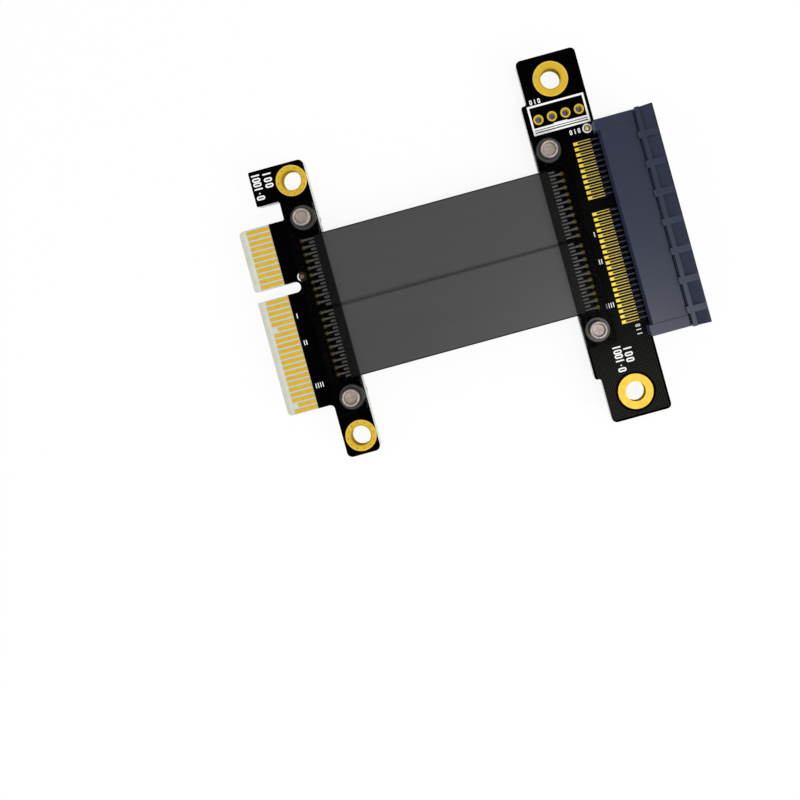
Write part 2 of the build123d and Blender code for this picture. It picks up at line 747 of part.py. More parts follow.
with BuildPart() as connector_housing:
    # The body, a little lower between its end walls, and the ears that grip the board
    box_between((connector_x, ear_low_y, middle_z), (groove_x, ear_high_y, pad_z))
    ear_slot_z = mask_top + ear_play
    for low_y, high_y in ((housing_low_y, ear_low_y), (ear_high_y, housing_high_y)):
        box_between((connector_x, low_y, middle_z), (groove_x, high_y, body_z))
        box_between((connector_x - ear_reach, low_y, ear_slot_z), (connector_x, high_y, body_z))
    upright = connector_housing.edges().filter_by(Axis.Z)
    fillet(upright.group_by(Axis.X)[0], edge_round)
    # The flange behind its groove. Pockets with sloping floors are cut into it and leave its ribs, and the
    # ribs run on across the groove.
    box_between((groove_x, housing_low_y, middle_z), (crest_x, housing_high_y, body_z - groove_depth))
    with BuildSketch(Plane.XZ.offset(-flange_high_y)):
        with BuildLine():
            Polyline(
                (crest_x, middle_z),
                (crest_x, crest_z),
                (mouth_x - mouth_chamfer, crest_z),
                (mouth_x, crest_z - mouth_chamfer),
                (mouth_x, middle_z),
                close=True,
            )
        make_face()
    extrude(amount=flange_high_y - flange_low_y)
    for high_y, low_y in zip(panel_high_ys, panel_low_ys):
        with BuildSketch(Plane.XZ.offset(-high_y)):
            with BuildLine():
                Polyline(
                    (panel_x, crest_z),
                    (panel_x, crest_z - panel_depth),
                    (mouth_x - mouth_chamfer, crest_z),
                    close=True,
                )
            make_face()
        extrude(amount=high_y - low_y, mode=Mode.SUBTRACT)
    with Locations([((groove_x + crest_x) / 2, y, (middle_z + crest_z) / 2) for y in rib_ys]):
        Box(groove_width, rib_width, crest_z - middle_z)
    # The slot in two lengths with the key's web between them, and its flared mouth
    for low_y, high_y in ((slot_low_y, key_y - key_web / 2), (key_y + key_web / 2, slot_high_y)):
        box_between((slot_floor_x, low_y, middle_z), (mouth_x, high_y, slot_z), Mode.SUBTRACT)
    with BuildSketch(Plane.XZ.offset(-slot_high_y)):
        with BuildLine():
            Polyline(
                (mouth_x - slot_lead_depth, slot_z),
                (mouth_x, slot_z),
                (mouth_x, slot_z + slot_lead),
                close=True,
            )
        make_face()
    extrude(amount=slot_high_y - slot_low_y, mode=Mode.SUBTRACT)
    # A channel for each contact's blade, and a hole through the back wall for its tail
    channel_length = channel_end_x - slot_floor_x
    with Locations([((slot_floor_x + channel_end_x) / 2, y, (slot_z + channel_z) / 2) for y in contact_ys]):
        Box(channel_length, contact_pitch - channel_wall, channel_z - slot_z, mode=Mode.SUBTRACT)
    with Locations([((connector_x + slot_floor_x) / 2, y, tail_z) for y in contact_ys]):
        Box(
            slot_floor_x - connector_x,
            contact_width + 2 * contact_hole_play,
            contact_thickness + 2 * contact_hole_play,
            mode=Mode.SUBTRACT,
        )
    mirror(about=Plane.XY.offset(middle_z))
save(connector_housing, "connector_housing")

# Spring contacts: a tail on the pad, through the back wall, and a bowed blade along the slot
spring_z = channel_z - spring_roof_gap - contact_thickness / 2
with BuildPart() as contact:
    with BuildSketch(Plane.XZ):
        with BuildLine():
            FilletPolyline(
                (connector_x - contact_pad_inset - tail_on_pad, tail_z),
                (slot_floor_x + spring_bend_start, tail_z),
                (slot_floor_x + spring_bend_start + spring_rise, spring_z),
                (slot_floor_x + spring_bend_start + spring_rise + spring_flat, spring_z),
                (mouth_x - spring_touch_inset, slot_z - spring_bite),
                (mouth_x - spring_tip_inset, slot_z + spring_tip_lift),
                radius=contact_bend_radius,
            )
        trace(line_width=contact_thickness)
    extrude(amount=contact_width / 2, both=True)
    tail_trim = (contact_width - tail_width) / 2
    for side in faces.values():
        trim_y = side * (tail_width + tail_trim) / 2
        with Locations((connector_x - socket_depth / 2, trim_y, tail_z)):
            Box(socket_depth, tail_trim, 2 * contact_thickness, mode=Mode.SUBTRACT)
for face, side in faces.items():
    with BuildPart() as contacts:
        with Locations([(0, y, 0) for y in contact_ys]):
            if side == 1:
                add(contact.part)
            else:
                add(mirror(contact.part, about=Plane.XY.offset(middle_z), mode=Mode.PRIVATE))
    save(contacts, f"connector_contacts_{face}")
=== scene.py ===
import json
import math

import bmesh
import bpy
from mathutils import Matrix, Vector


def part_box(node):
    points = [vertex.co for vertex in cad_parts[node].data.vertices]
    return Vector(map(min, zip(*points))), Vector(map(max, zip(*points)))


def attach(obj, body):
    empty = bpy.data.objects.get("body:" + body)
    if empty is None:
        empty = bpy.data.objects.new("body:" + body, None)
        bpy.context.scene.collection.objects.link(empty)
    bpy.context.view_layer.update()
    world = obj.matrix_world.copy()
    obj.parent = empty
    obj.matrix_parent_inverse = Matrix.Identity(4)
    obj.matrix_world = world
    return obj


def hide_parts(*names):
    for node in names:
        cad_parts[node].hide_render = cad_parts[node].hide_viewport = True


# A flat cable riser that lies on a plain white floor, seen from straight above in soft studio light.
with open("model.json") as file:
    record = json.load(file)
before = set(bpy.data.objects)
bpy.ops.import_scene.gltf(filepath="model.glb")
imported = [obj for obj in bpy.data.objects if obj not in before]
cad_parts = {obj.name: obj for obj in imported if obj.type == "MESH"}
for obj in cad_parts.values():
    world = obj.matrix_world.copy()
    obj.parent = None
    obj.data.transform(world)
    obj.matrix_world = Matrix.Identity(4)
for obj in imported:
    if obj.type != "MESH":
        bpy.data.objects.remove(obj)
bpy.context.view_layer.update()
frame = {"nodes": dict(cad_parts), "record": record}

MM = 0.001
CONTACT_PITCH = 1.0 * MM
SHORT_FINGERS = (-1.5 * MM, -15.5 * MM)
WIRE_PITCH = 0.635 * MM
WIRES_PER_RIBBON = 20
RIBBON_MIDDLE = 6.65 * MM
HALF_BOARD = 0.8 * MM
PAD_THICKNESS = 0.05 * MM
HEADER_PITCH = 2.5 * MM
HEADER_HOLES = 4
HEADER_SHADE_RADIUS = 0.64 * MM
# Each end's mounting rings: the piece, the bore's radius and the ring's radius
MOUNTING_RINGS = (("plug_hole_platings", 1.75 * MM, 2.8 * MM), ("socket_hole_platings", 1.8 * MM, 3.17 * MM))
HATCH_PITCH = 0.395 * MM
HATCH_LINE = 0.36  # share of the pitch
GROOVE_FROM_MOUTH = 3.62 * MM
COVER_LIFT = 0.012 * MM  # keeps the covers' feet off the faces that they stand on
COVER_BEVEL = 0.12 * MM
TOUCHING = 0.001 * MM
# Solder mounds: half length, half width and height. A long one is a neck with a blob at its end.
NECK_MOUND = (0.78 * MM, 0.15 * MM, 0.26 * MM)
BLOB_MOUND = (0.40 * MM, 0.22 * MM, 0.44 * MM)
DOT_MOUND = (0.24 * MM, 0.24 * MM, 0.06 * MM)
SHORT_MOUND_HALF_WIDTH, SHORT_MOUND_HEIGHT = 0.24 * MM, 0.42 * MM
# Where the mounds lie, from the pads' cable end: a neck's middle, a blob's middle, and a short one's length
NECK_PLACE = 0.80 * MM
BLOB_PLACES = {"plug": 1.52 * MM, "socket": 1.64 * MM}
SHORT_MOUND_LENGTHS = {"plug": 0.92 * MM, "socket": 1.08 * MM}
# Half of a rivet's outline from the middle of its dish: radius, and height from the crown, in millimetres
RIVET_OUTLINE = (
    (0.0, -0.70), (0.5, -0.70), (0.93, -0.70), (0.99, -0.70), (1.04, -0.66), (1.15, -0.12), (1.19, -0.04),
    (1.25, 0.0), (1.38, 0.0), (1.47, -0.06), (1.53, -0.17), (1.53, -0.85), (1.0, -0.87),
)


def mm(*values):
    """Lengths given in millimetres, in metres."""
    return tuple(value * MM for value in values)


# Places that the pieces and materials need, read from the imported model
fingers_low, fingers_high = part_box("plug_fingers_top")
plug_low, plug_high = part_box("plug_board")
socket_low, socket_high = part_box("socket_board")
tails_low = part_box("connector_contacts_top")[0]
middle_z = (plug_low.z + plug_high.z) / 2
jacket_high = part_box("ribbon_jacket_top_a")[1]
housing_low, housing_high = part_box("connector_housing")
groove_x = housing_high.x - GROOVE_FROM_MOUTH
platings = {name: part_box(name) for name, _, _ in MOUNTING_RINGS}
header_low, header_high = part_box("header_hole_platings")
header_ring_radius = (header_high.y - header_low.y) / 2
header_first = Vector((header_low.x + header_ring_radius, (header_low.y + header_high.y) / 2))
contact_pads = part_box("socket_contact_pads_top")
plug_rivets, socket_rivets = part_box("plug_rivets"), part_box("socket_rivets")
plug_rivet_x, socket_rivet_x = ((low.x + high.x) / 2 for low, high in (plug_rivets, socket_rivets))
rivets_middle_x = (plug_rivet_x + socket_rivet_x) / 2
rivets_reach_x = (socket_rivet_x - plug_rivet_x) / 2
rivets_reach_y = plug_rivets[1].y - (plug_rivets[1].x - plug_rivets[0].x) / 2
cover_low_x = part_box("plug_cover_top")[0].x


# Shader helpers


def new_material(name):
    """A material with its node tree and its one shader."""
    material = bpy.data.materials.new(name)
    material.use_nodes = True
    return material, material.node_tree, material.node_tree.nodes["Principled BSDF"]


def set_values(shader, **values):
    """Set constants on a shader's sockets: a name with _ stands for the socket's name with spaces."""
    for name, value in values.items():
        shader.inputs[name.replace("_", " ")].default_value = value


def math_node(tree, operation, a, b=None):
    """A Math node on values or sockets, and its output."""
    node = tree.nodes.new("ShaderNodeMath")
    node.operation = operation
    for socket, value in zip(node.inputs, (a, b)):
        if isinstance(value, bpy.types.NodeSocket):
            tree.links.new(value, socket)
        elif value is not None:
            socket.default_value = value
    return node.outputs[0]


def product(tree, *values):
    """Several values or sockets multiplied together: 1 only where all of them are 1."""
    result = values[0]
    for value in values[1:]:
        result = math_node(tree, "MULTIPLY", result, value)
    return result


def opposite(tree, value):
    """1 less a value: it turns a yes into a no."""
    return math_node(tree, "SUBTRACT", 1.0, value)


def distance(tree, value, middle):
    """How far a value is from a middle, on either side."""
    return math_node(tree, "ABSOLUTE", math_node(tree, "SUBTRACT", value, middle))


def wave(tree, value, pitch):
    """A sine wave along a value, with one turn in each pitch."""
    return math_node(tree, "SINE", math_node(tree, "MULTIPLY", value, 2 * math.pi / pitch))


def flat_length(tree, across, along):
    """The length of a flat step, from its two parts."""
    squares = (math_node(tree, "POWER", part, 2.0) for part in (across, along))
    return math_node(tree, "SQRT", math_node(tree, "ADD", *squares))


def object_place(tree):
    """The object coordinates in metres, and their three parts."""
    coordinate = tree.nodes.new("ShaderNodeTexCoord").outputs["Object"]
    split = tree.nodes.new("ShaderNodeSeparateXYZ")
    tree.links.new(coordinate, split.inputs[0])
    return coordinate, split.outputs[0], split.outputs[1], split.outputs[2]


def scaled(tree, vector, x, y, z):
    """Coordinates scaled along each axis, so that a texture stretches."""
    mapping = tree.nodes.new("ShaderNodeMapping")
    mapping.inputs["Scale"].default_value = (x, y, z)
    tree.links.new(vector, mapping.inputs["Vector"])
    return mapping.outputs[0]


def noise(tree, vector, size, detail=3.0, roughness=0.5):
    """A noise whose features are about size metres across."""
    node = tree.nodes.new("ShaderNodeTexNoise")
    node.inputs["Scale"].default_value = 1 / size
    node.inputs["Detail"].default_value = detail
    node.inputs["Roughness"].default_value = roughness
    tree.links.new(vector, node.inputs["Vector"])
    return node.outputs["Fac"]


def ramp(tree, factor, *stops):
    """A colour ramp from (position, colour) stops."""
    node = tree.nodes.new("ShaderNodeValToRGB")
    while len(node.color_ramp.elements) < len(stops):
        node.color_ramp.elements.new(0.5)
    for element, (position, colour) in zip(node.color_ramp.elements, stops):
        element.position = position
        element.color = (*colour, 1)
    tree.links.new(factor, node.inputs["Fac"])
    return node.outputs["Color"]


def grade(tree, value, low, high, to_low=0.0, to_high=1.0):
    """Map a value from one range to another, clamped."""
    node = tree.nodes.new("ShaderNodeMapRange")
    tree.links.new(value, node.inputs["Value"])
    for name, number in (("From Min", low), ("From Max", high), ("To Min", to_low), ("To Max", to_high)):
        node.inputs[name].default_value = number
    return node.outputs[0]


def within(tree, value, low, high, soft=0.05 * MM):
    """1 where a value lies between two limits, 0 outside them."""
    above = grade(tree, value, low - soft, low + soft)
    below = grade(tree, value, high - soft, high + soft, 1.0, 0.0)
    return math_node(tree, "MULTIPLY", above, below)


def in_box(tree, x, y, low, high, play):
    """1 inside a box seen from above and widened by some play, 0 outside it."""
    inside_x = within(tree, x, low.x - play, high.x + play)
    inside_y = within(tree, y, low.y - play, high.y + play)
    return math_node(tree, "MULTIPLY", inside_y, inside_x)


def mix_colour(tree, factor, a, b):
    """Mix two colours, each a value or a socket."""
    node = tree.nodes.new("ShaderNodeMix")
    node.data_type = "RGBA"
    tree.links.new(factor, node.inputs["Factor"])
    for socket, value in ((node.inputs[6], a), (node.inputs[7], b)):
        if isinstance(value, bpy.types.NodeSocket):
            tree.links.new(value, socket)
        else:
            socket.default_value = (*value, 1)
    return node.outputs[2]


def add_bump(tree, shader, height, depth, strength=1.0):
    """Bump a shader by a height that runs from 0 to 1 over depth metres."""
    node = tree.nodes.new("ShaderNodeBump")
    node.inputs["Strength"].default_value = strength
    node.inputs["Distance"].default_value = depth
    tree.links.new(height, node.inputs["Height"])
    tree.links.new(node.outputs[0], shader.inputs["Normal"])


def stripe(tree, value, pitch, share):
    """1 on a stripe that takes a share of each pitch, 0 between stripes."""
    turn = math_node(tree, "FRACT", math_node(tree, "DIVIDE", value, pitch))
    return math_node(tree, "LESS_THAN", turn, share)


def face_up(tree):
    """1 on faces that look up or down, 0 on upright faces."""
    least_rise = 0.6
    normal = tree.nodes.new("ShaderNodeNewGeometry").outputs["True Normal"]
    split = tree.nodes.new("ShaderNodeSeparateXYZ")
    tree.links.new(normal, split.inputs[0])
    return math_node(tree, "GREATER_THAN", math_node(tree, "ABSOLUTE", split.outputs[2]), least_rise)


def sees_surround(tree):
    """1 for the rays that see the white surround: camera, glossy and transmission rays."""
    path = tree.nodes.new("ShaderNodeLightPath").outputs
    bright = math_node(tree, "MAXIMUM", path["Is Camera Ray"], path["Is Glossy Ray"])
    return math_node(tree, "MAXIMUM", bright, path["Is Transmission Ray"])


def ring_distance(tree, x, y, centre_x, centre_y):
    """How far a point is from the nearer of two centres that mirror each other across the X axis."""
    across = math_node(tree, "SUBTRACT", x, centre_x)
    along = math_node(tree, "SUBTRACT", math_node(tree, "ABSOLUTE", y), centre_y)
    return flat_length(tree, across, along)


def rivet_step(tree, x, y):
    """The two parts of the step from the nearest rivet's axis to a point."""
    across = math_node(tree, "SUBTRACT", distance(tree, x, rivets_middle_x), rivets_reach_x)
    along = math_node(tree, "SUBTRACT", math_node(tree, "ABSOLUTE", y), rivets_reach_y)
    return across, along


# Materials


def laminate_material():
    """Glass-epoxy board: pale where it is bare, layered on its cut edges, dark in the mask's gaps."""
    material, tree, shader = new_material("laminate")
    place, x, y, z = object_place(tree)
    weave = product(tree, wave(tree, x, 0.55 * MM), wave(tree, y, 0.5 * MM))
    cloudy = noise(tree, place, 1.5 * MM, 4)
    mottled = math_node(tree, "ADD", math_node(tree, "MULTIPLY", weave, 0.10), cloudy)
    pale = ramp(tree, mottled, (0.3, (0.60, 0.615, 0.530)), (0.7, (0.665, 0.68, 0.595)))
    etched = within(tree, x, fingers_low.x, fingers_high.x + 0.2 * MM)
    for short_y in SHORT_FINGERS:
        beyond = grade(tree, x, fingers_low.x + 0.85 * MM, fingers_low.x + 0.9 * MM)
        beside = opposite(tree, within(tree, y, short_y - 0.36 * MM, short_y + 0.36 * MM))
        etched = math_node(tree, "MULTIPLY", etched, math_node(tree, "MAXIMUM", beyond, beside))
    pale = mix_colour(tree, etched, pale, (0.50, 0.59, 0.72))
    layers = math_node(tree, "MULTIPLY", wave(tree, z, 0.19 * MM), 0.14)
    fibres = noise(tree, scaled(tree, place, 1, 1, 6), 0.5 * MM, 2)
    layered = math_node(tree, "ADD", layers, fibres)
    cut = ramp(tree, layered, (0.25, (0.66, 0.67, 0.62)), (0.75, (0.84, 0.85, 0.80)))
    bare = within(tree, x, plug_low.x - MM, fingers_high.x + 0.02 * MM)
    flat = mix_colour(tree, bare, (0.006, 0.006, 0.010), pale)
    colour = mix_colour(tree, face_up(tree), cut, flat)
    tree.links.new(colour, shader.inputs["Base Color"])
    add_bump(tree, shader, mottled, 0.01 * MM)
    set_values(shader, Roughness=0.45, Specular_IOR_Level=0.25)
    return material


def mask_material():
    """Black solder mask. The hatched copper pour shows through on the socket board, brightened by a painted
    highlight towards the board's open end.
    """
    material, tree, shader = new_material("solder_mask")
    place, x, y, _ = object_place(tree)
    lines = math_node(tree, "MAXIMUM", *(stripe(tree, part, HATCH_PITCH, HATCH_LINE) for part in (x, y)))
    ring_low, ring_high = platings["socket_hole_platings"]
    ring_radius = (ring_high.x - ring_low.x) / 2
    around = ring_distance(tree, x, y, (ring_low.x + ring_high.x) / 2, ring_high.y - ring_radius)
    clear = grade(tree, around, ring_radius + 0.35 * MM, ring_radius + 0.5 * MM)
    inside = in_box(tree, x, y, socket_low, socket_high, -0.4 * MM)
    # Painted highlight: the pour and its hatch grow brighter towards the socket board's open end
    highlight_towards_end = grade(tree, y, -27 * MM, -8 * MM, 1.0, 0.18)
    strength = product(tree, highlight_towards_end, grade(tree, y, 5 * MM, 18 * MM, 1.0, 0.0))
    pour_and_highlight = product(tree, inside, clear, strength)
    hatch = product(tree, pour_and_highlight, opposite(tree, lines))
    shade = noise(tree, place, 9 * MM, 2)
    ground = ramp(tree, shade, (0.3, (0.0003, 0.0003, 0.0004)), (0.7, (0.0007, 0.0007, 0.0007)))
    poured = mix_colour(tree, pour_and_highlight, ground, (0.0050, 0.0050, 0.0040))
    colour = mix_colour(tree, hatch, poured, (0.0255, 0.0255, 0.0205))
    tree.links.new(colour, shader.inputs["Base Color"])
    grain = math_node(tree, "MULTIPLY", noise(tree, place, 0.12 * MM, 3), 0.3)
    add_bump(tree, shader, math_node(tree, "ADD", grain, hatch), 0.006 * MM, 0.5)
    set_values(shader, Roughness=0.42, Specular_IOR_Level=0.004)
    return material


def ring_tones(tree, x, y, upward, colour):
    """Mounting rings: painted shade by the hole, a painted highlight at the rim, painted shadow in the
    barrel, and a painted highlight on the socket's lower ring.
    """
    shaded_barrel = opposite(tree, upward)
    for name, bore, radius in MOUNTING_RINGS:
        low, high = platings[name]
        around = ring_distance(tree, x, y, low.x + radius, high.y - radius)
        at_ring = within(tree, around, bore - 0.1 * MM, radius + 0.1 * MM, 0.01 * MM)
        shaded_lip = within(tree, around, bore - 0.1 * MM, bore + 0.22 * MM)
        highlit_rim = within(tree, around, radius - 0.22 * MM, radius + 0.1 * MM, 0.03 * MM)
        # Painted shade at the lip and in the barrel, a painted highlight at the rim
        for part, part_colour in (
            (shaded_lip, (0.47, 0.30, 0.027)), (highlit_rim, (0.72, 0.486, 0.054)), (shaded_barrel, (0.40, 0.26, 0.010)),
        ):
            colour = mix_colour(tree, product(tree, at_ring, part), colour, part_colour)
    # Painted highlight on the socket's lower ring, where the light's sheen falls
    on_socket = within(tree, x, socket_low.x, housing_low.x + MM)
    highlit_end = product(tree, on_socket, grade(tree, y, -24 * MM, -20 * MM, 1.0, 0.0), upward)
    return mix_colour(tree, highlit_end, colour, (0.67, 0.42, 0.036))


def header_tones(tree, x, y, upward, colour):
    """Header holes: painted shade on a ring round each hole, and a painted highlight on its barrel's wall."""
    steps = math_node(tree, "DIVIDE", math_node(tree, "SUBTRACT", x, header_first.x), HEADER_PITCH)
    off_hole = math_node(tree, "SUBTRACT", math_node(tree, "FRACT", math_node(tree, "ADD", steps, 0.5)), 0.5)
    across = math_node(tree, "MULTIPLY", off_hole, HEADER_PITCH)
    from_hole = flat_length(tree, across, math_node(tree, "SUBTRACT", y, header_first.y))
    at_hole = math_node(tree, "LESS_THAN", from_hole, HEADER_SHADE_RADIUS)
    at_hole = product(tree, at_hole, within(tree, x, header_low.x, header_high.x))
    # Painted shade round each hole, then a painted highlight on its barrel's wall
    colour = mix_colour(tree, at_hole, colour, (0.30, 0.21, 0.035))
    return mix_colour(tree, product(tree, at_hole, opposite(tree, upward)), colour, (0.75, 0.62, 0.10))


def contact_pad_tones(tree, x, y, tone, colour):
    """Pads of the slot's contacts: bright, with a painted shadow beside each tail, and black at their own
    long edges.
    """
    turn = math_node(tree, "FRACT", math_node(tree, "DIVIDE", y, CONTACT_PITCH))
    off_middle = distance(tree, turn, 0.5)
    pad = ramp(tree, tone, (0.3, (0.715, 0.52, 0.022)), (0.7, (0.825, 0.64, 0.054)))
    along_tail = grade(tree, x, tails_low.x - 0.05 * MM, tails_low.x)
    # Painted shadow of each tail on its pad
    tail_shadow = product(tree, along_tail, grade(tree, off_middle, 0.14, 0.18, 1.0, 0.0))
    pad = mix_colour(tree, tail_shadow, pad, (0.40, 0.33, 0.04))
    pad = mix_colour(tree, grade(tree, off_middle, 0.285, 0.30), pad, (0.006, 0.006, 0.006))
    return mix_colour(tree, in_box(tree, x, y, *contact_pads, 0.1 * MM), colour, pad)


def wire_pad_tones(tree, x, y, colour):
    """Pads of the ribbon's wires: a darker gold, darkest at the plug."""
    for end, dim_gold in (("plug", (0.35, 0.25, 0.014)), ("socket", (0.47, 0.36, 0.028))):
        low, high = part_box(f"{end}_wire_pads_top")
        colour = mix_colour(tree, in_box(tree, x, y, low, high, 0.05 * MM), colour, dim_gold)
    return colour


def gold_material():
    """Gold plating, softly bright, with the tones of each plated place laid over it."""
    material, tree, shader = new_material("gold")
    place, x, y, _ = object_place(tree)
    tone = noise(tree, place, 0.8 * MM, 4)
    upward = face_up(tree)
    colour = ramp(tree, tone, (0.3, (0.615, 0.385, 0.0145)), (0.7, (0.68, 0.435, 0.0235)))
    colour = ring_tones(tree, x, y, upward, colour)
    colour = header_tones(tree, x, y, upward, colour)
    colour = contact_pad_tones(tree, x, y, tone, colour)
    colour = wire_pad_tones(tree, x, y, colour)
    tree.links.new(colour, shader.inputs["Base Color"])
    add_bump(tree, shader, noise(tree, place, 0.07 * MM, 2), 0.004 * MM, 0.4)
    tree.links.new(grade(tree, tone, 0.3, 0.7, 0.38, 0.48), shader.inputs["Roughness"])
    tree.links.new(math_node(tree, "MULTIPLY", upward, 0.25), shader.inputs["Metallic"])
    tree.links.new(math_node(tree, "MULTIPLY", upward, 0.2), shader.inputs["Specular IOR Level"])
    return material


def silkscreen_material():
    """Matte white ink with slightly thin patches, with painted shade beside and under the plug's cover."""
    material, tree, shader = new_material("silkscreen")
    place, x, _, _ = object_place(tree)
    thin = noise(tree, place, 0.25 * MM, 3)
    ink = ramp(tree, thin, (0.25, (0.86, 0.86, 0.86)), (0.6, (0.97, 0.97, 0.97)))
    # Painted shade on the ink beside and under the plug's cover
    shaded = within(tree, x, cover_low_x - 0.36 * MM, plug_high.x)
    tree.links.new(mix_colour(tree, shaded, ink, (0.10, 0.10, 0.10)), shader.inputs["Base Color"])
    add_bump(tree, shader, thin, 0.01 * MM, 0.5)
    set_values(shader, Roughness=0.7, Specular_IOR_Level=0.2)
    return material


def tin_material(name, low, high, roughness):
    """Tinned or soldered metal between two tones."""
    material, tree, shader = new_material(name)
    place = object_place(tree)[0]
    tone = noise(tree, place, 0.3 * MM, 3)
    tree.links.new(ramp(tree, tone, (0.3, low), (0.7, high)), shader.inputs["Base Color"])
    add_bump(tree, shader, noise(tree, place, 0.09 * MM, 2), 0.01 * MM, 0.5)
    set_values(shader, Metallic=0.5, Roughness=roughness)
    return material


def contact_material():
    """Tinned contact leaf: a dull dark face over the pad, a greyer heel, and painted shade on its upright
    flanks.
    """
    material, tree, shader = new_material("spring_contact")
    place, x, _, _ = object_place(tree)
    tone = noise(tree, place, 0.3 * MM, 3)
    leaf = ramp(tree, tone, (0.3, (0.002, 0.004, 0.033)), (0.7, (0.004, 0.008, 0.053)))
    heel = ramp(tree, tone, (0.3, (0.024, 0.029, 0.056)), (0.7, (0.036, 0.041, 0.072)))
    colour = mix_colour(tree, grade(tree, x, tails_low.x + 2.1 * MM, tails_low.x + 2.5 * MM), leaf, heel)
    # Painted shade on the upright flanks
    colour = mix_colour(tree, face_up(tree), (0.010, 0.011, 0.022), colour)
    tree.links.new(colour, shader.inputs["Base Color"])
    add_bump(tree, shader, noise(tree, place, 0.09 * MM, 2), 0.006 * MM, 0.5)
    set_values(shader, Metallic=0.1, Roughness=0.4, Specular_IOR_Level=0.1)
    return material


def jacket_material():
    """Smooth grey vinyl: painted shade on its outer edges and in soft bands along the seam, painted shade
    where it lies on the boards under the covers, painted shade lines at the boards' edges, and a faint trace
    of wires.
    """
    material, tree, shader = new_material("ribbon_jacket")
    place, x, y, _ = object_place(tree)
    soft = noise(tree, scaled(tree, place, 0.1, 1, 1), 3 * MM, 2)
    colour = ramp(tree, soft, (0.25, (0.0525, 0.0525, 0.053)), (0.75, (0.0565, 0.0565, 0.057)))
    reach = math_node(tree, "ABSOLUTE", y)
    # Painted shade on the rounded outer edges
    edge = within(tree, reach, jacket_high.y - 0.26 * MM, jacket_high.y + MM, 0.06 * MM)
    colour = mix_colour(tree, edge, colour, (0.004, 0.004, 0.005))
    # Painted shade in soft bands along the seam, less of it in the seam's middle
    seam = grade(tree, reach, 0.30 * MM, 0.60 * MM, 1.0, 0.0)
    colour = mix_colour(tree, seam, colour, (0.0355, 0.0355, 0.036))
    seam_middle = grade(tree, reach, 0.12 * MM, 0.28 * MM, 1.0, 0.0)
    colour = mix_colour(tree, seam_middle, colour, (0.0545, 0.0545, 0.055))
    # Painted shade where the jacket lies on the boards under the covers
    open_length = within(tree, x, plug_high.x - 0.02 * MM, socket_low.x + 0.02 * MM, 0.03 * MM)
    colour = mix_colour(tree, open_length, (0.0225, 0.0225, 0.0225), colour)
    # Painted shade lines where the jacket passes the boards' edges
    plug_edge_shade = within(tree, x, plug_high.x - 0.15 * MM, plug_high.x + 0.12 * MM, 0.06 * MM)
    socket_edge_shade = within(tree, x, socket_low.x - 0.12 * MM, socket_low.x + 0.15 * MM, 0.06 * MM)
    lines = math_node(tree, "MAXIMUM", plug_edge_shade, socket_edge_shade)
    colour = mix_colour(tree, lines, colour, (0.005, 0.005, 0.005))
    tree.links.new(colour, shader.inputs["Base Color"])
    ridges = math_node(tree, "MULTIPLY", wave(tree, y, WIRE_PITCH), 0.1)
    grain = math_node(tree, "MULTIPLY", noise(tree, place, 0.1 * MM, 2), 0.25)
    add_bump(tree, shader, math_node(tree, "ADD", ridges, grain), 0.004 * MM, 0.5)
    set_values(shader, Roughness=0.33, Specular_IOR_Level=0.2)
    return material


def cover_material():
    """Smoked clear plastic: dark, see-through and softly glossy."""
    material, tree, shader = new_material("smoked_cover")
    shade = noise(tree, object_place(tree)[0], 4 * MM, 2)
    colour = ramp(tree, shade, (0.3, (0.0008, 0.0008, 0.0008)), (0.7, (0.0016, 0.0016, 0.0016)))
    tree.links.new(colour, shader.inputs["Base Color"])
    set_values(shader, Roughness=0.3, Specular_IOR_Level=0.02, Alpha=0.41)
    return material


def washer_material():
    """Grey nylon, with painted shade round the rivet's head and at the rim."""
    material, tree, shader = new_material("washer")
    place, x, y, _ = object_place(tree)
    tone = noise(tree, place, 0.6 * MM, 3)
    colour = ramp(tree, tone, (0.3, (0.026, 0.026, 0.027)), (0.7, (0.038, 0.038, 0.039)))
    around = flat_length(tree, *rivet_step(tree, x, y))
    # Painted shade: a ring by the rivet's head and one at the rim
    by_head = grade(tree, around, 1.66 * MM, 1.74 * MM, 1.0, 0.0)
    shade_rings = math_node(tree, "MAXIMUM", by_head, grade(tree, around, 2.08 * MM, 2.14 * MM))
    colour = mix_colour(tree, shade_rings, colour, (0.005, 0.005, 0.005))
    tree.links.new(colour, shader.inputs["Base Color"])
    add_bump(tree, shader, noise(tree, place, 0.1 * MM, 2), 0.01 * MM, 0.5)
    set_values(shader, Roughness=0.36, Specular_IOR_Level=0.3)
    return material


